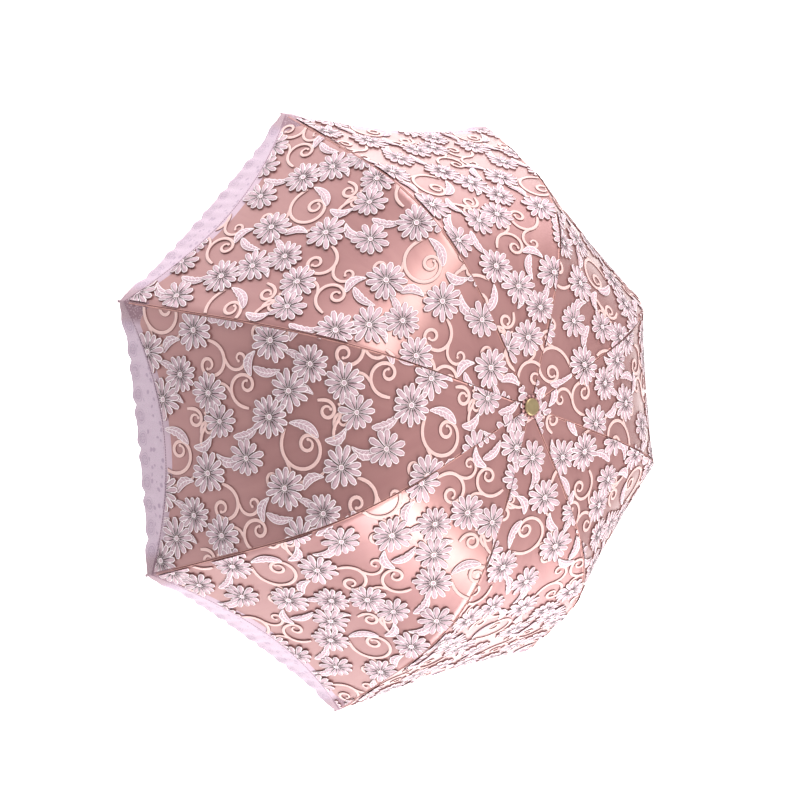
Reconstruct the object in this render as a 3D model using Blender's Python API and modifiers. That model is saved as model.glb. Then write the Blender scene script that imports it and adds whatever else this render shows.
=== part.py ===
"""Lace parasol, open, standing on its handle end. Metres, +Z up along the shaft.

Eight curved ribs hang from a notch at the top of a tube shaft. Each rib carries one gore of
the canopy (the halves of the two panels beside it) and one length of the lace flounce. Eight
stretchers join the ribs to a runner that slides on the shaft, and sliding it down folds all.
"""

import math

import bmesh
import bpy
from mathutils import Matrix, Vector

# Canopy: surface height at the shaft, length along a rib, and how the slope grows outwards
COUNT = 8
APEX_Z = 0.745
ARC = 0.5505
SLOPE_END = 0.9545
SLOPE_AT = 0.4995
SLOPE_POWER = 3.572
CLOTH = 0.0008
HOLE_R = 0.0070
HEM_RISE = 0.041
PANEL_SAG = 0.005
GAP = 0.0003

# Flounce: width at a rib tip and at mid panel, slope below horizontal, scallops
FLOUNCE_TIP = 0.006
FLOUNCE_MID = 0.060
FLOUNCE_SLOPE = math.radians(75.0)
SCALLOPS = 12
SCALLOP_DEEP = 0.004

# Ribs and their hinges
RIB_DOWN = 0.0027
RIB_R = 0.0016
HINGE_R = 0.0090
EYE_R = 0.0022
EYE_HALF = 0.0008
EYE_HOLE_R = 0.00075
WIRE_R = 0.0004
PIVOT_AT = 0.36
PIVOT_DOWN = 0.0034

# Shaft, notch and cap
SHAFT_R = 0.0050
SHAFT_WALL = 0.0008
BORE_R = SHAFT_R + GAP
NOTCH_R = 0.0130
NOTCH_TALL = 0.0090
SLOT_HALF = 0.0020
CAP_R = 0.0106
CAP_TALL = 0.0036
ROSETTE_R = 0.0145

# Runner and stretchers
RUNNER_DROP = 0.120
RUNNER_HINGE_R = 0.0115
RUNNER_R = 0.0155
SLEEVE_R = 0.0082
SLEEVE_LONG = 0.050
STRETCHER_R = 0.0013
STRETCHER_SIDE = 0.0034
KEYWAY_R = 0.0074
CATCH_R = 0.0070
CATCH_LONG = 0.024
CATCH_HALF = 0.0006
CATCH_AZ = math.radians(22.5)
RUNNER_TRAVEL = 0.23963

# Handle
GRIP_TOP = 0.150
SHAFT_FOOT = 0.100
END_CAP_TALL = 0.0057

STEP_AZ = 2 * math.pi / COUNT
HALF_AZ = STEP_AZ / 2
FINE = 600
ROWS = 10


def canopy_table():
    """Radius, height and slope along a rib at even steps of the arc."""
    rows = []
    r, z = 0.0, APEX_Z
    for i in range(FINE + 1):
        s = i / FINE
        slope = SLOPE_END * (1 - math.exp(-((s / SLOPE_AT) ** SLOPE_POWER)))
        rows.append((r, z, slope))
        r += math.cos(slope) * ARC / FINE
        z -= math.sin(slope) * ARC / FINE
    return rows


TABLE = canopy_table()


def canopy(s):
    """Radius, height and slope at the fraction s of the arc."""
    x = min(max(s, 0.0), 1.0) * FINE
    i = min(int(x), FINE - 1)
    f = x - i
    return tuple(a + (b - a) * f for a, b in zip(TABLE[i], TABLE[i + 1]))


def under(s, down):
    """A point in the X-Z plane at the distance down below the canopy line."""
    r, z, slope = canopy(s)
    return Vector((r - down * math.sin(slope), 0.0, z - down * math.cos(slope)))


def arc_at_radius(radius):
    return next(i for i, row in enumerate(TABLE) if row[0] >= radius) / FINE


HINGE = Vector((HINGE_R, 0.0, APEX_Z - RIB_DOWN))
RUNNER_Z = APEX_Z - RUNNER_DROP
RUNNER_HINGE = Vector((RUNNER_HINGE_R, 0.0, RUNNER_Z))
PIVOT = under(PIVOT_AT, RIB_DOWN + PIVOT_DOWN)


def clear_scene():
    for obj in list(bpy.data.objects):
        bpy.data.objects.remove(obj, do_unlink=True)


def collection(name):
    made = bpy.data.collections.new(name)
    bpy.context.scene.collection.children.link(made)
    return made


def material(name, colour, metallic, roughness):
    mat = bpy.data.materials.new(name)
    mat.use_nodes = True
    shader = mat.node_tree.nodes["Principled BSDF"]
    shader.inputs["Base Color"].default_value = (*colour, 1.0)
    shader.inputs["Metallic"].default_value = metallic
    shader.inputs["Roughness"].default_value = roughness
    return mat


def turned(outline, sides=24):
    """A mesh turned about Z from an outline of (radius, height) that starts and ends on the
    axis, or closes on itself."""
    bm = bmesh.new()
    line = [bm.verts.new((r, 0.0, z)) for r, z in outline]
    edges = [bm.edges.new(pair) for pair in zip(line, line[1:])]
    if outline[0][0] > 0:
        edges.append(bm.edges.new((line[-1], line[0])))
    bmesh.ops.spin(
        bm, geom=line + edges, cent=(0, 0, 0), axis=(0, 0, 1), dvec=(0, 0, 0),
        angle=2 * math.pi, steps=sides, use_merge=True, use_duplicate=False,
    )
    bmesh.ops.remove_doubles(bm, verts=bm.verts, dist=1e-6)
    bmesh.ops.recalc_face_normals(bm, faces=bm.faces)
    return bm


def swept(points, radius, sides=8):
    """A round rod along points that stay near one X-Z plane."""
    bm = bmesh.new()
    rings = []
    for i, p in enumerate(points):
        along = (points[min(i + 1, len(points) - 1)] - points[max(i - 1, 0)]).normalized()
        side = (Vector((0, 1, 0)) - along * along.y).normalized()
        up = along.cross(side)
        ring = []
        for j in range(sides):
            a = 2 * math.pi * (j + 0.5) / sides
            ring.append(bm.verts.new(p + (side * math.cos(a) + up * math.sin(a)) * radius))
        rings.append(ring)
    for a, b in zip(rings, rings[1:]):
        for j in range(sides):
            k = (j + 1) % sides
            bm.faces.new((a[j], a[k], b[k], b[j]))
    bm.faces.new(rings[0])
    bm.faces.new(rings[-1])
    bmesh.ops.recalc_face_normals(bm, faces=bm.faces)
    return bm


def slab(outline, half):
    """A plate in the X-Z plane, from its outline, with its faces at Y plus and minus half."""
    bm = bmesh.new()
    near = [bm.verts.new((x, -half, z)) for x, z in outline]
    far = [bm.verts.new((x, half, z)) for x, z in outline]
    bm.faces.new(near)
    bm.faces.new(far[::-1])
    for i in range(len(outline)):
        k = (i + 1) % len(outline)
        bm.faces.new((near[i], far[i], far[k], near[k]))
    bmesh.ops.recalc_face_normals(bm, faces=bm.faces)
    return bm


def disc(centre, radius, half, sides=16):
    ring = [2 * math.pi * i / sides for i in range(sides)]
    return slab(
        [(centre.x + radius * math.cos(a), centre.z + radius * math.sin(a)) for a in ring], half
    )


def hoop(radius, height, wire, sides=32):
    ring = [(math.pi / 2) * i for i in range(4)]
    return turned([(radius + wire * math.cos(a), height + wire * math.sin(a)) for a in ring], sides)


def shift(bm, offset=(0, 0, 0), turn=0.0):
    bmesh.ops.transform(
        bm, matrix=Matrix.Rotation(turn, 4, "Z") @ Matrix.Translation(offset), verts=bm.verts
    )
    return bm


def helper(bm, name):
    """A cutter or a piece to be joined, kept out of the finished object."""
    mesh = bpy.data.meshes.new(name)
    bm.to_mesh(mesh)
    bm.free()
    obj = bpy.data.objects.new(name, mesh)
    obj.hide_render = True
    obj.display_type = "WIRE"
    CUTTERS.objects.link(obj)
    return obj


def boolean(obj, other, operation):
    modifier = obj.modifiers.new(operation.lower(), "BOOLEAN")
    modifier.operation = operation
    modifier.solver = "EXACT"
    modifier.object = other


def baked(bm, name, joined=(), cut=()):
    """The mesh left once the joined pieces are added and the cutters are taken away."""
    obj = helper(bm, name + "_blank")
    for piece in joined:
        boolean(obj, helper(piece, name + "_joined"), "UNION")
    for piece in cut:
        boolean(obj, helper(piece, name + "_cutter"), "DIFFERENCE")
    bpy.context.view_layer.update()
    graph = bpy.context.evaluated_depsgraph_get()
    mesh = bpy.data.meshes.new_from_object(obj.evaluated_get(graph))
    done = bmesh.new()
    done.from_mesh(mesh)
    bmesh.ops.remove_doubles(done, verts=done.verts, dist=1e-6)
    return done


def place(bm, name, mat, pivot=Vector((0, 0, 0)), azimuth=0.0):
    """The finished part, with its origin on its joint axis."""
    mesh = bpy.data.meshes.new(name)
    bmesh.ops.translate(bm, verts=bm.verts, vec=-Vector(pivot))
    bm.to_mesh(mesh)
    mesh.materials.append(mat)
    obj = bpy.data.objects.new(name, mesh)
    obj.matrix_world = Matrix.Rotation(azimuth, 4, "Z") @ Matrix.Translation(pivot)
    PARTS.objects.link(obj)
    bmesh.ops.translate(bm, verts=bm.verts, vec=Vector(pivot))
    return obj


def around(bm, name, mat, pivot):
    """One part at each of the eight ribs."""
    for k in range(COUNT):
        place(bm, f"{name}_{k + 1}", mat, pivot, k * STEP_AZ)
    bm.free()


# ---- canopy ----


def hem(a):
    """How far up from the rib tip the hem lies, as a fraction of the arc; a is 0 at a rib and
    1 at mid panel."""
    return (0.002 + HEM_RISE * (1 - (1 - a) ** 2)) / ARC


def gore_point(s, v):
    """The canopy surface for the rib at azimuth 0; v runs from -1 to 1 between mid panels."""
    r, z, slope = canopy(s)
    a = abs(v)
    half = r * math.sin(HALF_AZ)
    a_in = a * max(half - 0.0002, 0.0) / half
    way = Vector((math.cos(HALF_AZ), math.copysign(math.sin(HALF_AZ), v), 0.0))
    rib = Vector((r, 0.0, z))
    mid = way * (r * math.cos(HALF_AZ)) + Vector((0, 0, z))
    sag = PANEL_SAG * math.sin(math.pi * min(s, 1.0)) ** 2 * (1 - (1 - a) ** 2)
    inward = way * math.sin(slope) + Vector((0, 0, math.cos(slope)))
    return rib + (mid - rib) * a_in - inward * sag


def grid(rows):
    bm = bmesh.new()
    made = [[bm.verts.new(p) for p in row] for row in rows]
    for low, high in zip(made, made[1:]):
        for i in range(len(low) - 1):
            bm.faces.new((low[i], high[i], high[i + 1], low[i + 1]))
    bmesh.ops.recalc_face_normals(bm, faces=bm.faces)
    return bm


def thickened(bm, name, thickness):
    obj = helper(bm, name + "_sheet")
    modifier = obj.modifiers.new("cloth", "SOLIDIFY")
    modifier.thickness = thickness
    modifier.offset = 0.0
    bpy.context.view_layer.update()
    graph = bpy.context.evaluated_depsgraph_get()
    done = bmesh.new()
    done.from_mesh(bpy.data.meshes.new_from_object(obj.evaluated_get(graph)))
    bmesh.ops.recalc_face_normals(done, faces=done.faces)
    return done


def row_at(i, a):
    """Where row i of the cloth crosses the arc, at a between the rib and mid panel."""
    start = HOLE_R / ARC
    return start + (1 - hem(a) - start) * i / ROWS


def add_gores():
    rows = []
    for i in range(ROWS + 1):
        vs = [(j - 6) / 6 for j in range(13)]
        rows.append([gore_point(row_at(i, abs(v)), v) for v in vs])
    around(thickened(grid(rows), "gore", CLOTH), "gore", SATIN, HINGE)


def add_flounces():
    top, low = [], []
    columns = 2 * SCALLOPS
    for j in range(columns + 1):
        v = (j - SCALLOPS) / SCALLOPS
        a = abs(v)
        edge = gore_point(1 - hem(a), v)
        turn = v * HALF_AZ
        ease = min(1.0, a / 0.3)
        fall = canopy(1.0)[2]
        fall += (FLOUNCE_SLOPE - fall) * ease * ease * (3 - 2 * ease)
        way = Vector((math.cos(turn), math.sin(turn), 0.0)) * math.cos(fall)
        way -= Vector((0, 0, math.sin(fall)))
        wide = FLOUNCE_TIP + (FLOUNCE_MID - FLOUNCE_TIP) * (1 - (1 - a) ** 2)
        wide -= SCALLOP_DEEP * (j % 2) * min(1.0, 4 * a)
        top.append(edge + way * 0.0015)
        low.append(edge + way * wide)
    around(thickened(grid([top, low]), "flounce", CLOTH), "flounce", LACE, HINGE)


# ---- ribs ----


def add_ribs():
    first = arc_at_radius(HINGE_R + 0.0015)
    last = 1 - 0.006 / ARC
    inner = [s for s in (row_at(i, 0) for i in range(ROWS)) if first + 0.01 < s < last - 0.01]
    line = [under(s, RIB_DOWN) for s in (first, *inner, last)]
    bracket_top = under(PIVOT_AT, RIB_DOWN)
    along = (under(PIVOT_AT + 0.01, RIB_DOWN) - bracket_top).normalized() * 0.0035
    corners = (bracket_top - along, bracket_top + along, PIVOT + along * 0.7, PIVOT - along * 0.7)
    bracket = slab([(p.x, p.z) for p in corners], 0.0015)
    blank = swept(line, RIB_R)
    rod = baked(
        blank, "rib", joined=(disc(HINGE, EYE_R, EYE_HALF), bracket),
        cut=(disc(HINGE, EYE_HOLE_R, 0.003, 12),),
    )
    around(rod, "rib", FRAME_STEEL, HINGE)


def add_rib_tips():
    """A small acorn beyond the rib's end, turned and then laid along the rib's last slope."""
    start = under(1 - 0.0057 / ARC, RIB_DOWN)
    slope = canopy(1.0)[2]
    outline = [(0, 0.0), (0.0016, 0.0), (0.0016, 0.0100), (0.0012, 0.0108), (0.0018, 0.0116),
               (0.0023, 0.0132), (0.0018, 0.0147), (0.0009, 0.0154), (0, 0.0156)]
    tip = turned(outline, 8)
    turn = Matrix.Rotation(math.pi / 2 + slope, 4, "Y")
    bmesh.ops.transform(tip, matrix=Matrix.Translation(start) @ turn, verts=tip.verts)
    around(tip, "rib_tip", TIP_METAL, HINGE)


# ---- shaft, notch and cap ----


def radial_slots(inner, outer, low, high):
    """Eight cutters for slots that run outwards from the inner radius."""
    made = []
    for k in range(COUNT):
        box = slab([(inner, low), (outer, low), (outer, high), (inner, high)], SLOT_HALF)
        made.append(shift(box, turn=k * STEP_AZ))
    return made


def add_notch():
    top = APEX_Z - CLOTH / 2 - GAP
    low = top - NOTCH_TALL
    outline = [(0, top - 0.0045), (0.0027, top - 0.0045), (0.0027, top), (NOTCH_R, top),
               (NOTCH_R, low), (0.0080, low - 0.0015), (0.0080, low - 0.012),
               (BORE_R, low - 0.012), (BORE_R, low + 0.0005), (0, low + 0.0005)]
    groove = turned([(HINGE_R - 0.0007, top + 0.001), (HINGE_R + 0.0007, top + 0.001),
                     (HINGE_R + 0.0007, HINGE.z - 0.0007), (HINGE_R - 0.0007, HINGE.z - 0.0007)], 32)
    slots = radial_slots(0.0064, 0.016, low - 0.004, top + 0.001)
    place(baked(turned(outline), "notch", cut=(*slots, groove)), "top_notch", DARK_METAL)
    place(hoop(HINGE_R, HINGE.z, WIRE_R), "notch_wire", STEEL)


def add_crown():
    low = APEX_Z + CLOTH / 2 + GAP
    bm = bmesh.new()
    rings = []
    for r, z in ((0.0031, low), (ROSETTE_R, low), (ROSETTE_R, low + 0.0010), (0.0031, low + 0.0016)):
        ring = []
        for j in range(48):
            a = 2 * math.pi * j / 48
            wave = 0.0012 * math.cos(16 * a) if r > 0.01 else 0.0
            ring.append(bm.verts.new(((r + wave) * math.cos(a), (r + wave) * math.sin(a), z)))
        rings.append(ring)
    for a, b in zip(rings, rings[1:] + rings[:1]):
        for j in range(48):
            k = (j + 1) % 48
            bm.faces.new((a[j], a[k], b[k], b[j]))
    bmesh.ops.recalc_face_normals(bm, faces=bm.faces)
    place(bm, "crown_rosette", SATIN)
    base = low + 0.0016 + GAP
    cap = [(0, base - 0.0064), (0.0024, base - 0.0064), (0.0024, base), (CAP_R, base),
           (CAP_R, base + CAP_TALL - 0.0012), (CAP_R - 0.0009, base + CAP_TALL - 0.0003),
           (CAP_R - 0.0020, base + CAP_TALL), (0, base + CAP_TALL)]
    place(turned(cap, 36), "ferrule_cap", BRASS)


def catch_outline(foot, way):
    """A catch's side, from its hinge height; way is 1 when its shelf is at the top."""
    shape = [(-0.0004, -0.0015), (0.0024, -0.0015), (0.0038, 0.006), (CATCH_R, CATCH_LONG - 0.003),
             (CATCH_R, CATCH_LONG), (0.0026, CATCH_LONG), (0.0016, CATCH_LONG - 0.002)]
    return [(x, foot + way * z) for x, z in shape]


TOP_CATCH_FOOT = RUNNER_Z - 0.0055 - SLEEVE_LONG - 0.0005 - CATCH_LONG
LOW_CATCH_FOOT = RUNNER_Z - RUNNER_TRAVEL + 0.0040 + CATCH_LONG


def catch_hinge(foot):
    return Matrix.Rotation(CATCH_AZ, 4, "Z") @ Vector((0.0010, 0.0, foot))


def add_catches():
    for name, foot, way in (("top_catch", TOP_CATCH_FOOT, 1), ("bottom_catch", LOW_CATCH_FOOT, -1)):
        plate = shift(slab(catch_outline(foot, way), CATCH_HALF), turn=CATCH_AZ)
        place(plate, name, STEEL, catch_hinge(foot))


def add_shaft():
    top = APEX_Z - CLOTH / 2 - GAP - NOTCH_TALL + 0.0005 - GAP
    inner = SHAFT_R - SHAFT_WALL
    tube = turned([(SHAFT_R, top), (SHAFT_R, SHAFT_FOOT), (inner, SHAFT_FOOT), (inner, top)])
    cuts = []
    for foot, way in ((TOP_CATCH_FOOT, 1), (LOW_CATCH_FOOT, -1)):
        ends = sorted((foot - way * 0.003, foot + way * (CATCH_LONG + 0.001)))
        box = slab([(0.003, ends[0]), (0.007, ends[0]), (0.007, ends[1]), (0.003, ends[1])], 0.0010)
        cuts.append(shift(box, turn=CATCH_AZ))
    stop_z = RUNNER_Z + 0.0035 + 0.0025
    hole = disc(Vector((0, 0, stop_z)), 0.0012, 0.010, 12)
    cuts.append(shift(hole, turn=HALF_AZ))
    place(baked(tube, "shaft", cut=cuts), "shaft_tube", SHAFT_METAL)
    pin = disc(Vector((0, 0, stop_z)), 0.0010, 0.0075, 12)
    place(shift(pin, turn=HALF_AZ), "stop_pin", STEEL)


# ---- runner and stretchers ----


def add_runner():
    top = RUNNER_Z + 0.0035
    low = RUNNER_Z - 0.0055
    foot = low - SLEEVE_LONG
    outline = [(BORE_R, top), (RUNNER_R, top), (RUNNER_R, low), (SLEEVE_R, low - 0.003),
               (SLEEVE_R, foot), (BORE_R, foot)]
    groove = turned([(RUNNER_HINGE_R - 0.0007, top + 0.001), (RUNNER_HINGE_R + 0.0007, top + 0.001),
                     (RUNNER_HINGE_R + 0.0007, RUNNER_Z - 0.0007),
                     (RUNNER_HINGE_R - 0.0007, RUNNER_Z - 0.0007)], 32)
    slots = radial_slots(0.0089, 0.018, low - 0.004, top + 0.001)
    key = slab([(0.004, foot - 0.001), (KEYWAY_R, foot - 0.001), (KEYWAY_R, top + 0.001),
                (0.004, top + 0.001)], 0.0011)
    body = baked(turned(outline), "runner", cut=(*slots, groove, shift(key, turn=CATCH_AZ)))
    place(body, "runner_sleeve", RUNNER_PLASTIC)
    place(hoop(RUNNER_HINGE_R, RUNNER_Z, WIRE_R), "runner_wire", STEEL)
    ring_low = foot + 0.001
    ring = [(SLEEVE_R + GAP, ring_low + 0.006), (SLEEVE_R + 0.0022, ring_low + 0.0045),
            (SLEEVE_R + 0.0022, ring_low + 0.0015), (SLEEVE_R + GAP, ring_low)]
    place(turned(ring), "runner_ring", BRASS)


def add_stretchers():
    way = (PIVOT - RUNNER_HINGE).normalized()
    long = (PIVOT - RUNNER_HINGE).length
    side = Vector((0, STRETCHER_SIDE, 0))
    line = [RUNNER_HINGE + way * 0.0012, RUNNER_HINGE + way * 0.006,
            RUNNER_HINGE + way * 0.017 + side, RUNNER_HINGE + way * (long - 0.001) + side]
    rod = swept(line, STRETCHER_R)
    head = shift(disc(PIVOT, 0.0026, 0.0011, 12), offset=side)
    eye = disc(RUNNER_HINGE, EYE_R, EYE_HALF)
    done = baked(
        rod, "stretcher", joined=(eye, head), cut=(disc(RUNNER_HINGE, EYE_HOLE_R, 0.003, 12),)
    )
    around(done, "stretcher", FRAME_STEEL, RUNNER_HINGE)


# ---- handle ----


def add_handle():
    base = END_CAP_TALL + GAP
    grip = [(0, base), (0.0100, base), (0.0112, base + 0.004), (0.0132, 0.022), (0.0138, 0.036),
            (0.0128, 0.056), (0.0104, 0.078), (0.0094, 0.098), (0.0098, 0.118), (0.0108, 0.136),
            (0.0104, GRIP_TOP - 0.002), (0.0096, GRIP_TOP), (BORE_R, GRIP_TOP),
            (BORE_R, SHAFT_FOOT - GAP), (0, SHAFT_FOOT - GAP)]
    place(turned(grip), "handle_grip", WOOD)
    foot = GRIP_TOP + GAP
    collar = [(BORE_R, foot), (0.0100, foot), (0.0104, foot + 0.002), (0.0086, foot + 0.0045),
              (0.0082, foot + 0.012), (0.0068, foot + 0.016), (BORE_R, foot + 0.016)]
    place(turned(collar), "handle_collar", BRASS)
    end = [(0, 0.0), (0.0088, 0.0), (0.0098, 0.0010), (0.0100, END_CAP_TALL), (0, END_CAP_TALL)]
    place(turned(end), "handle_end_cap", BRASS)


clear_scene()
PARTS = collection("lace_parasol")
CUTTERS = collection("cutters")
SATIN = material("satin", (0.62, 0.36, 0.37), 0.0, 0.45)
LACE = material("lace", (0.80, 0.70, 0.76), 0.0, 0.8)
FRAME_STEEL = material("frame_steel", (0.72, 0.72, 0.74), 0.9, 0.35)
STEEL = material("steel", (0.66, 0.66, 0.68), 1.0, 0.3)
DARK_METAL = material("dark_metal", (0.16, 0.15, 0.15), 0.6, 0.4)
SHAFT_METAL = material("shaft_metal", (0.30, 0.27, 0.26), 0.8, 0.35)
TIP_METAL = material("tip_metal", (0.70, 0.60, 0.40), 1.0, 0.35)
BRASS = material("brass", (0.52, 0.42, 0.22), 1.0, 0.35)
WOOD = material("wood", (0.30, 0.17, 0.09), 0.0, 0.4)
RUNNER_PLASTIC = material("runner_plastic", (0.20, 0.18, 0.18), 0.0, 0.4)

add_handle()
add_shaft()
add_notch()
add_crown()
add_catches()
add_runner()
add_stretchers()
add_ribs()
add_rib_tips()
add_gores()
add_flounces()
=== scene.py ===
"""Lace parasol: a satin canopy with raised embroidery and a lace flounce, on an eight-rib folding
frame. Each rib carries the two half panels of cloth beside it, and they move with it."""

import math
import random

import bmesh
import bpy
from mathutils import Matrix, Vector


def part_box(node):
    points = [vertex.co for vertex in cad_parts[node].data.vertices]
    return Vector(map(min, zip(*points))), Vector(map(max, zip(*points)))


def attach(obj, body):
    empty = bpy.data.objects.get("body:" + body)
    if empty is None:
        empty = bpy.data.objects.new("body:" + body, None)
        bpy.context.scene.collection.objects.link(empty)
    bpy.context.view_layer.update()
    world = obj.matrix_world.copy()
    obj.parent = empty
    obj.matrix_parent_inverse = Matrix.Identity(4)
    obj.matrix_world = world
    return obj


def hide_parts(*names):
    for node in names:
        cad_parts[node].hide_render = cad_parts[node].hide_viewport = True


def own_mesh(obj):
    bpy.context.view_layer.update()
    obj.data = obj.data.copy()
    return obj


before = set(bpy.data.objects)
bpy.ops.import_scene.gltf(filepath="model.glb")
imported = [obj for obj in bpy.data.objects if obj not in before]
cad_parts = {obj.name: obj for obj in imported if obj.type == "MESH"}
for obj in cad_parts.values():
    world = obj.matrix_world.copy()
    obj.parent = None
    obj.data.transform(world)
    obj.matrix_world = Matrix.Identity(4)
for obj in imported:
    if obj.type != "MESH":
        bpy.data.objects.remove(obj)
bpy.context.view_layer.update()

# ---- camera and studio ----
# The lens looks down on the open canopy from the side, turned so that the shaft's upper end
# points to the right. Two warm soft boxes make the satin's highlights and two large fills light
# the sides. The white surround is brighter where the lens sees it than as a light on the cloth.
CAMERA_AT = Vector((0.1912, -0.6837, 1.6021))
CAMERA_HEADING = math.radians(106.16)
CAMERA_FALL = math.radians(58.49)
CAMERA_ROLL = math.radians(90.6)
CAMERA_LENS = 40.9

camera = bpy.data.objects.new("camera", bpy.data.cameras.new("camera"))
camera.data.lens = CAMERA_LENS
camera.data.sensor_width = 36.0
facing = Vector(
    (
        math.cos(CAMERA_HEADING) * math.cos(CAMERA_FALL),
        math.sin(CAMERA_HEADING) * math.cos(CAMERA_FALL),
        -math.sin(CAMERA_FALL),
    )
)
level = facing.cross(Vector((0, 0, 1))).normalized()
upright = level.cross(facing)
across = level * math.cos(CAMERA_ROLL) + upright * math.sin(CAMERA_ROLL)
turn = Matrix((across, across.cross(facing), -facing)).transposed()
camera.matrix_world = Matrix.Translation(CAMERA_AT) @ turn.to_4x4()
bpy.context.scene.collection.objects.link(camera)
bpy.context.scene.camera = camera
bpy.context.scene.view_settings.view_transform = "Standard"


def soft_box(name, at, towards, size, power, colour=(1, 1, 1)):
    """A square soft box at a place, turned towards a point."""
    data = bpy.data.lights.new(name, "AREA")
    data.shape = "SQUARE"
    data.size = size
    data.energy = power
    data.color = colour
    lamp = bpy.data.objects.new(name, data)
    lamp.location = at
    lamp.rotation_euler = (Vector(towards) - Vector(at)).to_track_quat("-Z", "Y").to_euler()
    bpy.context.scene.collection.objects.link(lamp)


CANOPY_MIDDLE = (0.0, 0.0, 0.6)
soft_box("upper_box", (-1.06, -0.39, 2.27), CANOPY_MIDDLE, 0.5, 13, (1.0, 0.96, 0.88))
soft_box("lower_box", (1.23, 0.61, 2.07), CANOPY_MIDDLE, 0.5, 16, (1.0, 0.96, 0.88))
soft_box("upper_fill", (-1.95, -0.43, 1.35), CANOPY_MIDDLE, 1.3, 35)
soft_box("lower_fill", (1.68, 1.07, 1.35), CANOPY_MIDDLE, 1.3, 43)

surround = bpy.data.worlds.new("surround")
surround.use_nodes = True
sky = surround.node_tree.nodes["Background"]
sky.inputs["Color"].default_value = (1, 1, 1, 1)
seen = surround.node_tree.nodes.new("ShaderNodeLightPath")
sky_glow = surround.node_tree.nodes.new("ShaderNodeMapRange")
sky_glow.inputs["To Min"].default_value = 0.38
sky_glow.inputs["To Max"].default_value = 0.93
surround.node_tree.links.new(seen.outputs["Is Camera Ray"], sky_glow.inputs["Value"])
surround.node_tree.links.new(sky_glow.outputs["Result"], sky.inputs["Strength"])
bpy.context.scene.world = surround

floor_mesh = bpy.data.meshes.new("floor")
floor = bmesh.new()
bmesh.ops.create_grid(floor, x_segments=1, y_segments=1, size=40.0)
floor.to_mesh(floor_mesh)
floor.free()
floor_object = bpy.data.objects.new("floor", floor_mesh)
bpy.context.scene.collection.objects.link(floor_object)
floor_paint = bpy.data.materials.new("floor_paint")
floor_paint.use_nodes = True
paint = floor_paint.node_tree.nodes["Principled BSDF"].inputs
paint["Base Color"].default_value = (0.9, 0.9, 0.9, 1)
paint["Roughness"].default_value = 1.0
paint["Specular IOR Level"].default_value = 0.0
paint["Emission Color"].default_value = (1, 1, 1, 1)
paint["Emission Strength"].default_value = 0.85
floor_mesh.materials.append(floor_paint)


# ---- shaft, notch, wires and catches ----
# An enamelled steel tube with a dark cast notch on top. The wires that hold the ribs and the
# stretchers, the stop pin and the two catches are bright spring wire.
class Tone:
    """A value or a colour on its way through a material, so that sums read as sums."""

    def __init__(self, shade, socket):
        self.shade = shade
        self.socket = socket

    def math(self, operation, *others):
        return self.shade.node("ShaderNodeMath", {"operation": operation}, [self, *others])

    def __add__(self, other):
        return self.math("ADD", other)

    __radd__ = __add__

    def __mul__(self, other):
        return self.math("MULTIPLY", other)

    __rmul__ = __mul__

    def __sub__(self, other):
        return self.math("SUBTRACT", other)

    def __rsub__(self, other):
        return self.shade.node("ShaderNodeMath", {"operation": "SUBTRACT"}, [other, self])

    def __truediv__(self, other):
        return self.math("DIVIDE", other)

    def __pow__(self, other):
        return self.math("POWER", other)

    def over(self, edge):
        return self.math("GREATER_THAN", edge)

    def under(self, edge):
        return self.math("LESS_THAN", edge)

    def clamp(self):
        return self.shade.node("ShaderNodeClamp", {}, [self, 0.0, 1.0])


def dye(red, green, blue):
    """A screen colour, 0 to 255, as the light that it stands for."""
    return tuple(
        c / 12.92 if c <= 0.04045 else ((c + 0.055) / 1.055) ** 2.4
        for c in (red / 255, green / 255, blue / 255)
    )


class Shade:
    """A material, with one method that adds any node."""

    def __init__(self, name, **fixed):
        self.material = bpy.data.materials.new(name)
        self.material.use_nodes = True
        self.tree = self.material.node_tree
        self.surface = self.tree.nodes["Principled BSDF"]
        for socket, value in fixed.items():
            found = self.surface.inputs[socket.replace("_", " ")]
            found.default_value = (*value, 1.0) if isinstance(value, tuple) else value

    def node(self, kind, settings, values=(), out=0):
        made = self.tree.nodes.new(kind)
        for setting, value in settings.items():
            setattr(made, setting, value)
        pairs = values.items() if isinstance(values, dict) else enumerate(values)
        for socket, value in pairs:
            if isinstance(value, Tone):
                self.tree.links.new(value.socket, made.inputs[socket])
            elif value is not None:
                if isinstance(value, tuple) and len(made.inputs[socket].default_value) == 4:
                    value = (*value, 1.0)
                made.inputs[socket].default_value = value
        return Tone(self, made.outputs[out])

    def place(self):
        return self.node("ShaderNodeTexCoord", {}, (), "Object")

    def noise(self, at, scale, detail=2.0, roughness=0.5):
        return self.node(
            "ShaderNodeTexNoise", {},
            {"Vector": at, "Scale": scale, "Detail": detail, "Roughness": roughness},
        )

    def mix(self, factor, one, other):
        return self.node(
            "ShaderNodeMix", {"data_type": "RGBA"}, {0: factor, 6: one, 7: other}, 2
        )

    def parts(self, vector):
        split = self.node("ShaderNodeSeparateXYZ", {}, [vector])
        outs = split.socket.node.outputs
        return Tone(self, outs[0]), Tone(self, outs[1]), Tone(self, outs[2])

    def feed(self, socket, tone):
        self.tree.links.new(tone.socket, self.surface.inputs[socket])

    def bump(self, height, strength, distance):
        self.feed(
            "Normal",
            self.node(
                "ShaderNodeBump", {},
                {"Strength": strength, "Distance": distance, "Height": height},
            ),
        )


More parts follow.
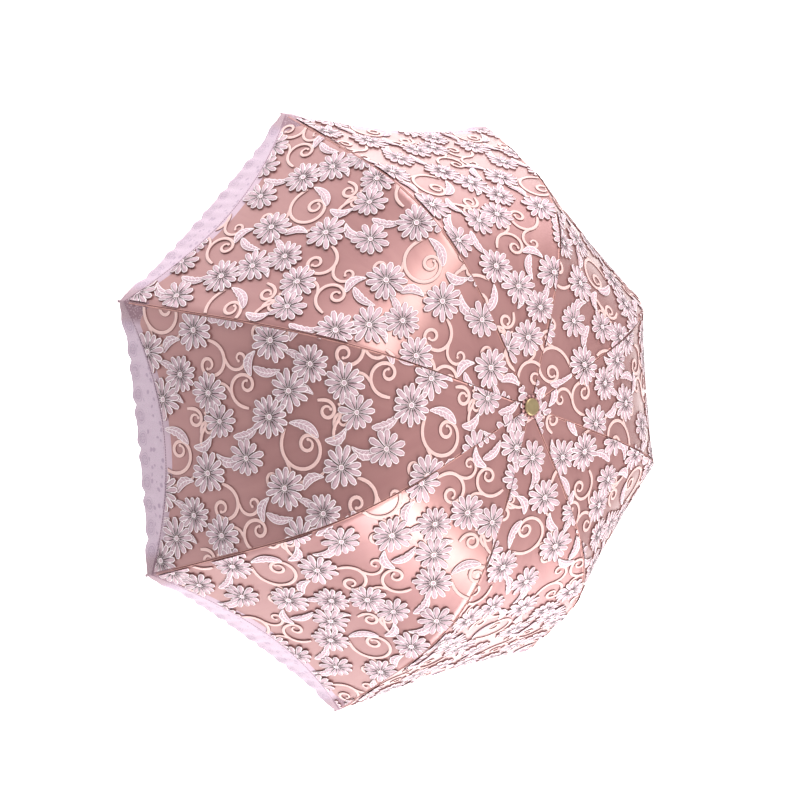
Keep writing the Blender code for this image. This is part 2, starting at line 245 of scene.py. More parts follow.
def metal(name, colour, worn, roughness, scale=60.0):
    """A plated or polished metal with fine drawn lines and a little dulling."""
    shade = Shade(name, Metallic=1.0)
    at = shade.place()
    dull = shade.noise(at, scale, 4.0, 0.6)
    lines = shade.noise(
        shade.node("ShaderNodeVectorMath", {"operation": "MULTIPLY"}, [at, (900, 900, 60)]), 1.0
    )
    shade.feed("Base Color", shade.mix(dull, colour, worn))
    shade.feed("Roughness", dull * 0.18 + lines * 0.08 + (roughness - 0.1))
    shade.bump(lines, 0.15, 0.0002)
    return shade.material


def finish_as(material, *names):
    """The finish of nodes whose shape is already right."""
    for name in names:
        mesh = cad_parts[name].data
        mesh.materials.clear()
        mesh.materials.append(material)


bright_wire = metal("bright_wire", dye(205, 203, 205), dye(165, 162, 165), 0.26)
shaft_enamel = metal("shaft_enamel", dye(120, 108, 104), dye(88, 78, 76), 0.34)
dark_casting = metal("dark_casting", dye(70, 66, 66), dye(44, 42, 42), 0.42)
finish_as(bright_wire, "notch_wire", "runner_wire", "stop_pin", "top_catch", "bottom_catch")
finish_as(shaft_enamel, "shaft_tube")
finish_as(dark_casting, "top_notch")

# ---- handle ----
# Turned and varnished hardwood with an olive brass collar and a brass end cap.
olive_brass = metal("olive_brass", dye(178, 150, 104), dye(126, 104, 66), 0.34, 140.0)
finish_as(olive_brass, "handle_collar", "handle_end_cap", "runner_ring")

varnished_wood = Shade("varnished_wood", Coat_Weight=0.5, Coat_Roughness=0.12)
grain_at = varnished_wood.node(
    "ShaderNodeVectorMath", {"operation": "MULTIPLY"}, [varnished_wood.place(), (240, 240, 14)]
)
grain = varnished_wood.noise(grain_at, 1.0, 5.0, 0.65)
varnished_wood.feed(
    "Base Color", varnished_wood.mix(grain, dye(70, 38, 22), dye(142, 88, 52))
)
varnished_wood.feed("Roughness", grain * 0.2 + 0.3)
varnished_wood.bump(grain, 0.2, 0.0003)
finish_as(varnished_wood.material, "handle_grip")

# ---- runner ----
# A moulded sleeve that slides on the shaft.
moulded = Shade("moulded", Specular_IOR_Level=0.4)
speckle = moulded.noise(moulded.place(), 700.0, 2.0)
moulded.feed("Base Color", moulded.mix(speckle, dye(52, 46, 47), dye(72, 64, 66)))
moulded.feed("Roughness", speckle * 0.2 + 0.35)
moulded.bump(speckle, 0.15, 0.0002)
finish_as(moulded.material, "runner_sleeve")

# ---- ribs and stretchers ----
# Plated steel rods: a curved rib under each seam with a plated tip, and a stretcher to it.
rib_plate = metal("rib_plate", dye(196, 194, 198), dye(150, 148, 152), 0.3)
finish_as(rib_plate, *[f"{part}_{k}" for part in ("rib", "stretcher") for k in range(1, 9)])
tip_plate = metal("tip_plate", dye(214, 192, 200), dye(180, 152, 162), 0.4)
finish_as(tip_plate, *[f"rib_tip_{k}" for k in range(1, 9)])

# ---- satin panels ----
# Dusty-rose satin, cut in eight panels that are sewn together along the ribs. Cloth runs
# straight from rib to rib with a slight sag, and its hem is cut in a hollow curve between them.
RIBS = 8
APEX_Z = 0.745
ARC = 0.5505
SLOPE_END = 0.9545
SLOPE_AT = 0.4995
SLOPE_POWER = 3.572
HOLE = 0.0068
HEM_RISE = 0.041
PANEL_SAG = 0.005
HALF_TURN = math.pi / RIBS
LINE_STEPS = 1200


def canopy_line():
    """Radius, height and slope at even steps along a rib's cloth."""
    rows, radius, height = [], 0.0, APEX_Z
    for i in range(LINE_STEPS + 1):
        slope = SLOPE_END * (1 - math.exp(-((i / LINE_STEPS / SLOPE_AT) ** SLOPE_POWER)))
        rows.append((radius, height, slope))
        radius += math.cos(slope) * ARC / LINE_STEPS
        height -= math.sin(slope) * ARC / LINE_STEPS
    return rows


LINE = canopy_line()


def along_rib(s):
    x = min(max(s, 0.0), 1.0) * LINE_STEPS
    i = min(int(x), LINE_STEPS - 1)
    return [a + (b - a) * (x - i) for a, b in zip(LINE[i], LINE[i + 1])]


def hem_at(a):
    """How far along the arc the hem is; a is 0 at a rib and 1 at mid panel."""
    return 1 - (0.0015 + HEM_RISE * (1 - (1 - a) ** 2)) / ARC


def half_width(s):
    """From a rib to mid panel, across the cloth."""
    return along_rib(s)[0] * math.sin(HALF_TURN)


def cloth(s, v, lift=0.0):
    """A point on the cloth of the rib that runs along +X, or a little above it."""
    radius, height, slope = along_rib(s)
    a = abs(v)
    out = Vector((math.cos(HALF_TURN), math.copysign(math.sin(HALF_TURN), v), 0.0))
    rib = Vector((radius, 0.0, height))
    middle = out * (radius * math.cos(HALF_TURN)) + Vector((0, 0, height))
    sag = PANEL_SAG * math.sin(math.pi * min(max(s, 0.0), 1.0)) ** 2 * (1 - (1 - a) ** 2)
    normal = out * math.sin(slope) + Vector((0, 0, math.cos(slope)))
    return rib + (middle - rib) * a + normal * (lift - sag)


def show(name, bm, *materials):
    """Puts a finished mesh in the scene, smooth, with its place in its mesh."""
    mesh = bpy.data.meshes.new(name)
    bm.to_mesh(mesh)
    bm.free()
    for each in materials:
        mesh.materials.append(each)
    mesh.shade_smooth()
    made = bpy.data.objects.new(name, mesh)
    bpy.context.scene.collection.objects.link(made)
    return made


def on_rib(piece, k):
    """The piece moves with a rib."""
    azimuth = (k - 1) * 2 * HALF_TURN
    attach(piece, f"rib_{k}")
    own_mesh(piece)
    return piece


def to_rib(bm, k):
    """Turns what was made for the rib along +X to its own rib."""
    bmesh.ops.rotate(
        bm, verts=bm.verts, matrix=Matrix.Rotation((k - 1) * 2 * HALF_TURN, 3, "Z")
    )
    return bm


def strip(columns, rows, place):
    """A grid of cloth shaped by a function of its two shares, which gives a point and its UV."""
    bm = bmesh.new()
    bmesh.ops.create_grid(bm, x_segments=columns, y_segments=rows, size=0.5)
    uv = bm.loops.layers.uv.new("cloth")
    laid = {vert: place(vert.co.x + 0.5, vert.co.y + 0.5) for vert in bm.verts}
    for face in bm.faces:
        for loop in face.loops:
            loop[uv].uv = laid[loop.vert][1]
    for vert, (at, _) in laid.items():
        vert.co = at
    return bm


satin = Shade(
    "satin", Metallic=0.38, Coat_Weight=0.9, Coat_Roughness=0.3, Sheen_Weight=0.55,
    Sheen_Roughness=0.4, Sheen_Tint=(1.0, 0.94, 0.93),
)
weave_uv = satin.node("ShaderNodeUVMap", {"uv_map": "cloth"})
shot = satin.noise(
    satin.node("ShaderNodeVectorMath", {"operation": "MULTIPLY"}, [weave_uv, (60, 6, 1)]), 1.0, 3.0
)
threads = satin.noise(
    satin.node("ShaderNodeVectorMath", {"operation": "MULTIPLY"}, [weave_uv, (2600, 300, 1)]), 1.0
)
satin.feed("Base Color", satin.mix(shot, dye(172, 118, 120), dye(190, 139, 137)))
satin.feed("Roughness", shot * 0.08 + threads * 0.06 + 0.34)
satin.bump(threads + shot * 2.0, 0.12, 0.0002)


def gore_place(x, y):
    v = 2 * x - 1
    start = HOLE / ARC
    s = start + (hem_at(abs(v)) - start) * y
    return cloth(s, v), (v * half_width(s), s * ARC)


gores, gore_areas = {}, {}
for k in range(1, RIBS + 1):
    sheet = strip(24, 44, gore_place)
    gore_areas[k] = sum(face.calc_area() for face in sheet.faces)
    bmesh.ops.recalc_face_normals(sheet, faces=sheet.faces)
    gores[k] = on_rib(show(f"satin_gore_{k}", to_rib(sheet, k), satin.material), k)
    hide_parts(f"gore_{k}")

# ---- rib seams ----
# Each pair of panels is joined by a felled seam along its rib: a flat fold of the same satin, with
# its groove painted as a narrow dark line of shade beside it.
SEAM = (
    # across and above the cloth, in millimetres
    (-1.7, 0.05), (-0.9, 0.45), (-0.7, 0.2), (0.2, 0.2), (0.4, 0.6), (1.3, 0.55), (1.9, 0.05),
)

fold_satin = Shade("fold_satin", Metallic=0.3)
fold_noise = fold_satin.noise(fold_satin.place(), 260.0, 3.0)
fold_satin.feed("Base Color", fold_satin.mix(fold_noise, dye(180, 124, 122), dye(216, 164, 156)))
fold_satin.feed("Roughness", fold_noise * 0.2 + 0.34)
fold_satin.bump(fold_noise, 0.3, 0.0004)

# Painted shade: the dark line laid in the seam's groove.
seam_crease_shade = Shade("seam_crease_shade", Roughness=0.8)
joint_noise = seam_crease_shade.noise(seam_crease_shade.place(), 500.0)
seam_crease_shade.feed("Base Color", seam_crease_shade.mix(joint_noise, dye(70, 40, 44), dye(104, 66, 68)))


def seam_place(x, y):
    across, above = SEAM[round(x * (len(SEAM) - 1))]
    start = (HOLE + 0.012) / ARC
    s = start + (0.982 - start) * y
    v = across / 1000 / half_width(s)
    return cloth(s, v if v else 1e-6, above / 1000), (across / 1000, s * ARC)


seams = {}
for k in range(1, RIBS + 1):
    fold = strip(len(SEAM) - 1, 60, seam_place)
    for face in fold.faces:
        middle = sum(loop[fold.loops.layers.uv["cloth"]].uv.x for loop in face.loops) / 4
        # The groove's face takes the painted crease shade.
        face.material_index = int(-0.0007 < middle < 0.0001)
    bmesh.ops.recalc_face_normals(fold, faces=fold.faces)
    seams[k] = show(f"rib_seam_{k}", to_rib(fold, k), fold_satin.material, seam_crease_shade.material)
    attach(seams[k], f"rib_{k}")

# ---- embroidery ----
# Daisies, curling vines and toothed leaves in pale thread, raised a millimetre above the satin.
# The cloth carries them in a repeat, and each panel is cut from a different part of it.
REPEAT_WIDE = 0.168
REPEAT_LONG = 0.176
THREAD = 0.0012
VINE_HIGH = 0.0009
VINE_WIDE = 0.0021
STEP = 2.4
PETAL_HIGH = 0.0014
SLIT_HIGH = 0.0018
SHADOW_FLARE = 0.0006

thread = Shade("pale_thread", Sheen_Weight=0.15)
twist = thread.noise(thread.place(), 1500.0, 2.0)
thread.feed("Base Color", thread.mix(twist, dye(247, 228, 236), dye(255, 245, 249)))
thread.feed("Roughness", twist * 0.2 + 0.42)
thread.bump(twist, 0.3, 0.0003)

net = Shade("petal_net", Sheen_Weight=0.15)
net_at = net.place()
open_net = net.noise(net_at, 900.0, 1.0)
veil = net.noise(net_at, 90.0, 2.0)
net.feed(
    "Base Color",
    net.mix((open_net * 0.8 + veil * 0.3).clamp(), dye(184, 145, 158), dye(231, 202, 214)),
)
net.feed("Roughness", open_net * 0.2 + 0.5)
net.bump(open_net, 0.4, 0.0003)

vine_thread = Shade("vine_thread", Sheen_Weight=0.15)
cord_twist = vine_thread.noise(vine_thread.place(), 1200.0, 2.0)
vine_thread.feed(
    "Base Color", vine_thread.mix(cord_twist, dye(230, 187, 185), dye(244, 210, 207))
)
vine_thread.feed("Roughness", cord_twist * 0.2 + 0.42)
vine_thread.bump(cord_twist, 0.3, 0.0003)

# Painted shade: a dark mauve-brown laid in short slits between the petals, where their shadow
# falls.
painted_gap_shade = Shade("painted_gap_shade", Roughness=0.8)
deep = painted_gap_shade.noise(painted_gap_shade.place(), 800.0)
painted_gap_shade.feed("Base Color", painted_gap_shade.mix(deep, dye(62, 38, 46), dye(96, 64, 70)))

# Painted shadow: the dark sides that flare out round every petal, leaf and cord, as the shade each
# casts on the satin.
painted_edge_shadow = Shade("painted_edge_shadow", Roughness=0.7)
edge_noise = painted_edge_shadow.noise(painted_edge_shadow.place(), 600.0)
painted_edge_shadow.feed("Base Color", painted_edge_shadow.mix(edge_noise, dye(118, 74, 76), dye(146, 98, 98)))

STITCHERY = (
    thread.material, net.material, vine_thread.material, painted_gap_shade.material,
    painted_edge_shadow.material,
)
# SLIT and EDGE are painted shade: SLIT the dark slits between petals, EDGE the dark flared sides
# round each motif.
OUTLINE, FILL, VINE, SLIT, EDGE = range(5)


def keep_mesh(name, bm):
    mesh = bpy.data.meshes.new(name)
    bm.to_mesh(mesh)
    bm.free()
    return mesh


def raised_patch(bm, made, thread_wide):
    """Gives a flat outline a thread rim around net, and sides that flare out to an edge painted
    dark as the motif's shadow on the satin.
    """
    face = made[0].link_faces[0]
    outer = list(face.edges)
    middle = face.calc_center_median()
    rim = bmesh.ops.inset_region(
        bm, faces=[face], thickness=thread_wide, depth=-0.0003, use_even_offset=False,
        use_boundary=True,
    )["faces"]
    face.material_index = FILL
    for each in rim:
        each.material_index = OUTLINE
    skirt = bmesh.ops.extrude_edge_only(bm, edges=outer)["geom"]
    low = [part for part in skirt if isinstance(part, bmesh.types.BMVert)]
    for vert in low:
        away = (vert.co - middle).normalized() * SHADOW_FLARE
        vert.co = Vector((vert.co.x + away.x, vert.co.y + away.y, 0.0))
    for part in skirt:
        if isinstance(part, bmesh.types.BMFace):
            part.material_index = EDGE
    return set(made) | set(low) | set(face.verts)


def stitch(bm, start, end, wide, high, material=OUTLINE):
    """One long flat stitch between two points."""
    made = bmesh.ops.create_grid(bm, x_segments=1, y_segments=1, size=0.5)["verts"]
    run = Vector(end) - Vector(start)
    side = Vector((-run.y, run.x)).normalized() * wide
    for vert in made:
        x, y = vert.co.x + 0.5, vert.co.y * (1.0 - 0.5 * (vert.co.x + 0.5))
        spot = Vector(start) + run * x + side * y
        vert.co = Vector((spot.x, spot.y, high))
    made[0].link_faces[0].material_index = material
    return made


def petal(bm, length, wide, root, angle, high):
    """One petal: a teardrop with a thread outline around net."""
    made = bmesh.ops.create_circle(bm, cap_ends=True, segments=10, radius=1.0)["verts"]
    for vert in made:
        x = 0.5 - 0.5 * vert.co.x
        vert.co = Vector((root + x * length, wide * vert.co.y * (0.18 + 1.0 * x), high))
    group = raised_patch(bm, made, THREAD)
    bmesh.ops.rotate(bm, verts=list(group), matrix=Matrix.Rotation(angle, 3, "Z"))


def daisy(name, count, seed):
    """A flower head 47 mm across: petals of uneven length round a small ring, with dark slits of
    painted shade between them.
    """
    chance = random.Random(seed)
    radius = 0.0235
    bm = bmesh.new()
    root = radius * 0.2
    wide = math.pi * radius * 0.56 / count
    for i in range(count):
        reach = radius * chance.uniform(0.86, 1.08)
        angle = 2 * math.pi * (i + chance.uniform(-0.12, 0.12)) / count
        petal(bm, reach - root, wide * chance.uniform(0.9, 1.1), root, angle,
              PETAL_HIGH + 0.00015 * (i % 2))
        slit = angle + math.pi / count
        ends = [Vector((math.cos(slit), math.sin(slit))) * radius * share
                for share in (0.2, chance.uniform(0.44, 0.64))]
        stitch(bm, *ends, 0.0013, SLIT_HIGH, SLIT)
    ring = bmesh.ops.create_circle(bm, cap_ends=True, segments=8, radius=radius * 0.15)["verts"]
    for vert in ring:
        vert.co.z = PETAL_HIGH + 0.0004
    eye = ring[0].link_faces[0]
    bmesh.ops.inset_region(
        bm, faces=[eye], thickness=radius * 0.05, depth=-0.0002, use_boundary=True
    )
    eye.material_index = FILL
    return keep_mesh(name, bm)


def leaf(name, length, wide, teeth, bend):
    """A bent leaf with rounded teeth along its outer side, outlined and veined in thread."""
    bm = bmesh.new()

    def laid(x, y):
        return Vector((length * (x + 1) / 2, y + bend * length * (x * x - 1), 0.0))

    made = bmesh.ops.create_circle(bm, cap_ends=True, segments=36, radius=1.0)["verts"]
    for vert in made:
        x, y = vert.co.x, vert.co.y
        edge = wide * y * (1 + 0.25 * x)
        if y > 0.05:
            edge += wide * 0.3 * abs(math.cos(teeth * math.pi * (x + 1) / 2)) * (1 - x * x)
        vert.co = laid(x, edge) + Vector((0, 0, VINE_HIGH))
    raised_patch(bm, made, THREAD * 0.85)
    vein = bmesh.ops.create_grid(bm, x_segments=8, y_segments=1, size=0.5)["verts"]
    for vert in vein:
        x = 2 * vert.co.x * 0.88
        vert.co = laid(x, vert.co.y * 0.0011) + Vector((0, 0, VINE_HIGH + 0.0001))
    for i in range(teeth):
        x = -0.72 + 1.3 * i / teeth
        for side, reach in ((1, 0.95), (-1, 0.62)):
            stitch(bm, laid(x, 0)[:2], laid(x + 0.22, side * wide * reach)[:2], 0.0008,
                   VINE_HIGH + 0.00005)
    return keep_mesh(name, bm)


def wander(start, heading, bends):
    """Points and headings along a line. Each bend is a length in millimetres, and how sharply it
    turns at its two ends."""
    place = start.copy()
    line = [(place.copy(), heading)]
    for length, first, last in bends:
        count = max(2, round(length / STEP))
        for i in range(count):
            heading += (first + (last - first) * (i + 0.5) / count) * length / count
            place += Vector((math.cos(heading), math.sin(heading), 0)) * length / count / 1000
            line.append((place.copy(), heading))
    return line


def lay_cord(bm, line, wide, high):
    """A flat cord along a line, with a bud at its end, and its sides painted dark as its shadow on
    the satin.
    """
    section = ((-1.25, 0.0), (-1, 0.85), (-0.45, 1.0), (0.45, 0.9), (1, 0.85), (1.25, 0.0))
    last = len(line) - 1
    made = bmesh.ops.create_grid(bm, x_segments=last, y_segments=5, size=0.5)["verts"]
    columns = {vert: round((vert.co.y + 0.5) * 5) for vert in made}
    for face in {face for vert in made for face in vert.link_faces}:
        column = min(columns[vert] for vert in face.verts)
        face.material_index = (EDGE, VINE, VINE, VINE, EDGE)[column]
    for vert in made:
        i = round((vert.co.x + 0.5) * last)
        spot, heading = line[i]
        taper = min(1.0, 0.7 + 0.1 * i, 0.55 + 0.06 * (last - i))
        across, up = section[columns[vert]]
        side = Vector((-math.sin(heading), math.cos(heading), 0)) * across * wide * taper
        vert.co = spot + side + Vector((0, 0, up * high))
    bud = bmesh.ops.create_circle(bm, cap_ends=True, segments=8, radius=wide * 0.95)["verts"]
    for vert in bud:
        vert.co += line[-1][0] + Vector((0, 0, high + 0.0001))
    bud[0].link_faces[0].material_index = VINE


def vine(name, *bends, shoots=()):
    """A stem that sets out along +X. A shoot is how far along the stem it leaves, and its bends."""
    bm = bmesh.new()
    stem = wander(Vector((0, 0, 0)), 0.0, bends)
    lay_cord(bm, stem, VINE_WIDE, VINE_HIGH)
    for leaves_at, *shoot in shoots:
        start, heading = stem[round(leaves_at / STEP)]
        lay_cord(bm, wander(start, heading, shoot), VINE_WIDE * 0.9, VINE_HIGH - 0.0001)
    return keep_mesh(name, bm)


DAISIES = [daisy(f"daisy_{count}", count, 11 + count) for count in (11, 12, 13, 14)]
LONG_LEAF = leaf("long_leaf", 0.042, 0.0056, 5, 0.15)
SHORT_LEAF = leaf("short_leaf", 0.030, 0.0052, 4, -0.2)
LARGE_SCROLL = vine(
    "large_scroll", (14, 0.0, -0.03), (92, -0.032, -0.050), (62, -0.06, -0.17),
    shoots=((34, (16, -0.01, 0.03), (44, 0.045, 0.07), (34, 0.09, 0.22)),),
)
MIDDLE_SCROLL = vine(
    "middle_scroll", (12, -0.02, -0.03), (60, -0.042, -0.062), (44, -0.075, -0.19),
    shoots=((30, (12, 0.0, 0.04), (34, 0.06, 0.09), (22, 0.12, 0.25)),),
)
SMALL_SCROLL = vine("small_scroll", (10, 0.0, -0.04), (56, -0.065, -0.19))
STEM = vine("stem", (24, 0.034, 0.04), (22, -0.04, -0.05))

# Each layer is how high its motifs lie above the cloth, and its rows. A row is a motif, its place
# across and along the repeat in millimetres, its turn in degrees, and its size, which is below 0
# for one that is turned over.
REPEAT = (
    (0.0, (
        (LARGE_SCROLL, 72, 106, 28, 1.0), (MIDDLE_SCROLL, 133, 22, -75, -1.0),
        (MIDDLE_SCROLL, 47, 150, 98, -0.95), (SMALL_SCROLL, 43, 62, -92, -1.0),
        (SMALL_SCROLL, 78, 44, 172, -0.9), (STEM, 88, 46, 170, 0.9), (STEM, 124, 62, 40, 1.0),
    )),
    (0.0002, (
        (LONG_LEAF, 66, 100, -62, 0.95), (SHORT_LEAF, 129, 62, 64, 1.0),
        (LONG_LEAF, 6, 104, 99, 0.85), (SHORT_LEAF, 98, 26, -76, 1.05),
        (LONG_LEAF, 152, 98, -50, 0.8), (SHORT_LEAF, 76, 30, 64, -1.0),
        (LONG_LEAF, 66, 140, 70, 0.9), (SHORT_LEAF, 150, 134, 20, 1.0),
        (SHORT_LEAF, 36, 66, 100, 0.9),
    )),
    (0.0005, (
        (DAISIES[2], 26, 28, 10, 1.0), (DAISIES[0], 60, 16, 40, 0.9),
        (DAISIES[1], 120, 40, 25, 1.02), (DAISIES[1], 30, 96, 0, 1.0),
        (DAISIES[3], 58, 124, 35, 1.04),
        (DAISIES[2], 140, 112, 75, 1.04), (DAISIES[0], 104, 160, 60, 0.94),
        (DAISIES[3], 2, 66, 50, 0.94),
    )),
)


def cut_panel(j):
    """The stitchery of one panel as it lies flat: across from mid panel and along from the
    middle of the canopy, both as shares of the panel there."""
    bm = bmesh.new()
    shift = Vector((0.061 * j % REPEAT_WIDE, 0.083 * j % REPEAT_LONG, 0))
    rows = [
        (lift + 0.0002 * (order % 3), *row)
        for lift, layer in REPEAT
        for order, row in enumerate(layer)
    ]
    for lift, motif, x, y, angle, size in rows:
        turned = Matrix.Rotation(math.radians(angle), 3, "Z") @ Matrix.Diagonal(
            (abs(size), size, 1.0)
        )
        for column in range(-2, 3):
            for row in range(-1, 5):
                at = Vector((x / 1000 + column * REPEAT_WIDE, y / 1000 + row * REPEAT_LONG, 0))
                at += shift
                if abs(at.x) > half_width(at.y / ARC) + 0.06 or not -0.06 < at.y < ARC + 0.06:
                    continue
                before = len(bm.verts)
                bm.from_mesh(motif)
                bm.verts.ensure_lookup_table()
                for vert in bm.verts[before:]:
                    raised = lift if vert.co.z > 0.0001 else 0.0
                    vert.co = turned @ vert.co + at + Vector((0, 0, raised))
    bm.normal_update()
    bmesh.ops.reverse_faces(bm, faces=[face for face in bm.faces if face.normal.z < 0])
    for vert in bm.verts:
        share = vert.co.x / max(half_width(max(vert.co.y, 0.0) / ARC), 0.0008)
        end = hem_at(max(0.0, 1 - abs(share))) * ARC
        vert.co = Vector((share, (vert.co.y - HOLE) / (end - HOLE), vert.co.z))
    for point, normal in (((0, 0.99, 0), (0, 1, 0)), ((0, 0.014, 0), (0, -1, 0)),
                          ((0.985, 0, 0), (1, 0, 0)), ((-0.985, 0, 0), (-1, 0, 0))):
        bmesh.ops.bisect_plane(
            bm, geom=bm.verts[:] + bm.edges[:] + bm.faces[:], dist=1e-6, plane_co=point,
            plane_no=normal, clear_outer=True,
        )
    return keep_mesh(f"panel_{j}", bm)


def half_panel(flat, side):
    """The half of a flat panel beside one rib, laid on that rib's cloth. Side is 1 for the half
    that follows the rib anticlockwise."""
    bm = bmesh.new()
    bm.from_mesh(flat)
    bmesh.ops.bisect_plane(
        bm, geom=bm.verts[:] + bm.edges[:] + bm.faces[:], dist=1e-6, plane_co=(0, 0, 0),
        plane_no=(side, 0, 0), clear_outer=True,
    )
    for vert in bm.verts:
        share, along, lift = vert.co
        a = max(1 - abs(share), 1e-4)
        s = HOLE / ARC + (hem_at(a) - HOLE / ARC) * along
        vert.co = cloth(s, side * a, lift + 0.0003)
    bmesh.ops.reverse_faces(bm, faces=bm.faces)
    return bm


panels = {j: cut_panel(j) for j in range(1, RIBS + 1)}
for k in range(1, RIBS + 1):
    after, before = half_panel(panels[k], 1), half_panel(panels[(k - 2) % RIBS + 1], -1)
    other = keep_mesh("other_half", before)
    after.from_mesh(other)
    bpy.data.meshes.remove(other)
    on_rib(show(f"embroidery_{k}", to_rib(after, k), *STITCHERY), k)

# ---- hem band ----
# A band of doubled lace tape laid over the raw edge of the satin and stitched down, with a
# darker gusset of the same lace over each rib's tip.
BAND = 0.011
GUSSET = 0.030

lace = Shade("net_lace", Roughness=0.7, Sheen_Weight=0.2)
lace_u, lace_w, _ = lace.parts(lace.node("ShaderNodeUVMap", {"uv_map": "cloth"}))
SCALLOP_PITCH = 0.34 / 12
lace_x = lace.node(
    "ShaderNodeMath", {"operation": "WRAP"}, [lace_u, SCALLOP_PITCH / 2, -SCALLOP_PITCH / 2]
)
medal_y = lace_w - 0.0125
medal = (lace_x * lace_x + medal_y * medal_y) ** 0.5
spoke = lace.node(
    "ShaderNodeMath", {"operation": "COSINE"},
    [lace.node("ShaderNodeMath", {"operation": "ARCTAN2"}, [medal_y, lace_x]) * 6.0],
)
rings = (medal.over(0.0052) * medal.under(0.0068)
         + medal.under(0.0046) * (spoke * 0.5 + 0.5) * medal.over(0.0014)
         + medal.over(0.0088) * medal.under(0.0096)).clamp()
sprig_at = lace.node(
    "ShaderNodeTexVoronoi", {"feature": "F1"},
    {"Vector": lace.node("ShaderNodeUVMap", {"uv_map": "cloth"}), "Scale": 95.0,
     "Randomness": 0.6},
)
sprigs = sprig_at.under(0.3) * lace_w.over(0.0225)
cord_edge = lace_w.under(0.0016)
holes = lace.node(
    "ShaderNodeTexVoronoi", {"feature": "DISTANCE_TO_EDGE"},
    {"Vector": lace.node("ShaderNodeUVMap", {"uv_map": "cloth"}), "Scale": 700.0},
)
figures = (rings + sprigs + cord_edge).clamp()
near_tip = lace.node("ShaderNodeMath", {"operation": "ABSOLUTE"}, [lace_u])
gusset = (1 - (near_tip - 0.018) / 0.010).clamp()
dots = holes.under(0.22)
pale = lace.mix(figures, dye(202, 175, 195), dye(178, 150, 174))
dark = lace.mix(dots, dye(158, 124, 138), dye(190, 160, 172))
lace.feed("Base Color", lace.mix(gusset, pale, dark))
lace.feed("Alpha", (holes.under(0.2) * 0.25 + figures * 0.2 + gusset + 0.82).clamp())
lace.bump(figures, 0.5, 0.0006)

tape = Shade("lace_tape", Roughness=0.65, Sheen_Weight=0.2)
tape_u, tape_w, _ = tape.parts(tape.node("ShaderNodeUVMap", {"uv_map": "cloth"}))
tape_net = tape.noise(tape.place(), 900.0, 1.0)
tape_tip = tape.node("ShaderNodeMath", {"operation": "ABSOLUTE"}, [tape_u])
tape_gusset = (1 - (tape_tip - 0.018) / 0.010).clamp()
dash = tape.node("ShaderNodeMath", {"operation": "WRAP"}, [tape_u, 0.0034, 0.0]).under(0.0027)
line = tape_w.under(0.0023) * tape_w.over(0.0011) * dash
flecks = tape.node(
    "ShaderNodeTexVoronoi", {"feature": "F1"}, {"Vector": tape.place(), "Scale": 420.0}
).under(0.34)
tape_pale = tape.mix(tape_net, dye(206, 178, 197), dye(220, 193, 209))
tape_dark = tape.mix(flecks, dye(152, 116, 130), dye(188, 156, 168))
tape.feed(
    "Base Color", tape.mix(line, tape.mix(tape_gusset, tape_pale, tape_dark), dye(140, 106, 126))
)
tape.bump(tape_net + flecks, 0.4, 0.0004)


def band_place(x, y):
    """Across the hem: y is 0 at the raw edge and 1 at the band's inner edge."""
    v = 2 * x - 1
    a = abs(v)
    end = hem_at(a)
    wide = BAND + GUSSET * max(0.0, 1 - a / 0.16) ** 1.5
    lift = 0.00025 if y < 0.98 else 0.0
    return cloth(end - wide * y / ARC, v if v else 1e-6, lift), (v * 0.17, wide * y)


for k in range(1, RIBS + 1):
    band = strip(96, 6, band_place)
    bmesh.ops.recalc_face_normals(band, faces=band.faces)
    on_rib(show(f"hem_band_{k}", to_rib(band, k), tape.material), k)

# ---- lace flounce ----
# A gathered band of fine net lace with a scalloped lower edge, sewn under the hem.
FLOUNCE_TIP = 0.006
FLOUNCE_MID = 0.060
FLOUNCE_FALL = math.radians(75.0)
SCALLOPS = 12
SCALLOP_DEEP = 0.0045


def flounce_place(x, y):
    """Down the flounce: its UV runs along the hem and up from the scalloped edge."""
    v = 2 * x - 1
    a = abs(v)
    edge = cloth(hem_at(a), v if v else 1e-5, -0.0003)
    out = Vector((math.cos(v * HALF_TURN), math.sin(v * HALF_TURN), 0.0))
    ease = min(1.0, a / 0.3)
    fall = along_rib(1.0)[2]
    fall += (FLOUNCE_FALL - fall) * ease * ease * (3 - 2 * ease)
    wave = abs(math.cos(math.pi * SCALLOPS * v / 2))
    wide = FLOUNCE_TIP + (FLOUNCE_MID - FLOUNCE_TIP) * (1 - (1 - a) ** 2)
    wide -= SCALLOP_DEEP * (1 - wave) * min(1.0, 4 * a)
    ripple = 0.0007 * y * math.sin(2 * math.pi * 9 * v) * min(1.0, 3 * a)
    down = out * math.cos(fall) - Vector((0, 0, math.sin(fall)))
    return edge + down * wide * y + out * ripple, (v * 0.17, wide * (1 - y))


for k in range(1, RIBS + 1):
    frill = strip(144, 6, flounce_place)
    area = sum(face.calc_area() for face in frill.faces)
    bmesh.ops.recalc_face_normals(frill, faces=frill.faces)
    on_rib(show(f"lace_flounce_{k}", to_rib(frill, k), lace.material), k)
    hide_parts(f"flounce_{k}")

# ---- crown ----
# A gathered rosette of the same satin, its pleats drawn in under a short flat cap of turned
# olive brass that screws down on the shaft's end.
ROSETTE_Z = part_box("crown_rosette")[1].z
CAP_LOW, CAP_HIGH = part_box("ferrule_cap")[0].z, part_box("ferrule_cap")[1].z
CAP_OUT = 0.0106
PLEATS = 14

pleated = Shade("pleated_satin", Metallic=0.3)
pleat_x, pleat_y, _ = pleated.parts(pleated.place())
pleat_turn = pleated.node("ShaderNodeMath", {"operation": "ARCTAN2"}, [pleat_y, pleat_x])
pleat_shade = pleated.node("ShaderNodeMath", {"operation": "COSINE"}, [pleat_turn * float(PLEATS)])
pleat_wear = pleated.noise(pleated.place(), 350.0)
# Painted shade and light: the satin is darker in each pleat's hollow and lighter on its ridge, with
# a little random tone.
pleated.feed(
    "Base Color",
    pleated.mix(
        (pleat_shade * 0.6 + pleat_wear * 0.6 + 0.15).clamp(), dye(120, 78, 82), dye(202, 152, 152)
    ),
)
pleated.feed("Roughness", pleat_wear * 0.2 + 0.38)

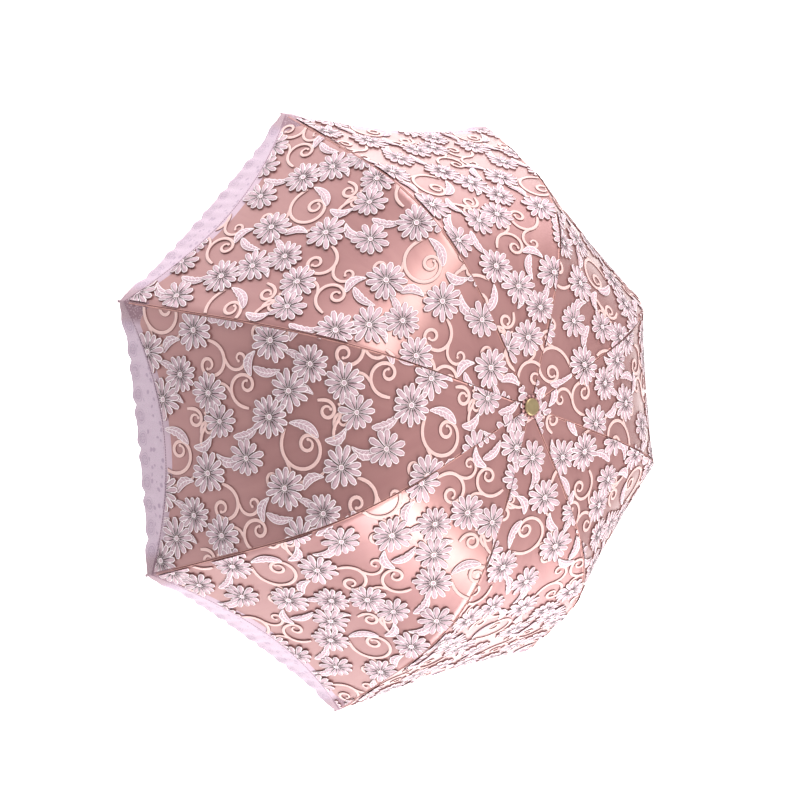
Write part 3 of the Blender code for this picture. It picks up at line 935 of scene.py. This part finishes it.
rosette = bmesh.new()
made = bmesh.ops.create_circle(rosette, segments=PLEATS * 8, radius=0.0052)
edges = rosette.edges[:]
for radius, rise, wave in ((0.0104, -0.0002, 0.0002), (0.0119, 0.0003, 0.0006),
                           (0.0134, -0.0002, 0.0005), (0.0146, -0.0012, 0.0002),
                           (0.0141, -0.0019, 0.0)):
    grown = bmesh.ops.extrude_edge_only(rosette, edges=edges)["geom"]
    edges = [part for part in grown if isinstance(part, bmesh.types.BMEdge)]
    for vert in (part for part in grown if isinstance(part, bmesh.types.BMVert)):
        turned = math.atan2(vert.co.y, vert.co.x)
        wide = radius + wave * 0.6 * math.cos(PLEATS * turned)
        vert.co = Vector((wide * math.cos(turned), wide * math.sin(turned),
                          rise + wave * math.cos(PLEATS * turned)))
bmesh.ops.translate(rosette, verts=rosette.verts, vec=(0, 0, ROSETTE_Z + 0.0004))
bmesh.ops.recalc_face_normals(rosette, faces=rosette.faces)
gathers = show("gathered_rosette", rosette, pleated.material)
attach(gathers, "shaft")
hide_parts("crown_rosette")

cap_brass = Shade("cap_brass", Metallic=0.6)
cap_noise = cap_brass.noise(cap_brass.place(), 160.0, 4.0, 0.6)
cap_brass.feed("Base Color", cap_brass.mix(cap_noise, dye(158, 139, 104), dye(190, 170, 132)))
cap_brass.feed("Roughness", cap_noise * 0.2 + 0.32)

cap = bmesh.new()
profile = [
    cap.verts.new((radius, 0, height))
    for radius, height in (
        (0.0, CAP_HIGH), (0.0060, CAP_HIGH - 0.0001), (CAP_OUT - 0.0020, CAP_HIGH - 0.0002),
        (CAP_OUT - 0.0009, CAP_HIGH - 0.0005), (CAP_OUT - 0.0002, CAP_HIGH - 0.0011),
        (CAP_OUT, CAP_HIGH - 0.0019), (CAP_OUT - 0.0002, CAP_LOW + 0.0074),
        (CAP_OUT - 0.0010, CAP_LOW + 0.0066), (0.0, CAP_LOW + 0.0066),
    )
]
chain = [cap.edges.new(pair) for pair in zip(profile, profile[1:])]
bmesh.ops.spin(
    cap, geom=profile + chain, cent=(0, 0, 0), axis=(0, 0, 1), angle=2 * math.pi, steps=48,
    use_merge=True,
)
bmesh.ops.remove_doubles(cap, verts=cap.verts, dist=1e-6)
bmesh.ops.recalc_face_normals(cap, faces=cap.faces)
turned_cap = show("turned_cap", cap, cap_brass.material)
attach(turned_cap, "shaft")
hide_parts("ferrule_cap")
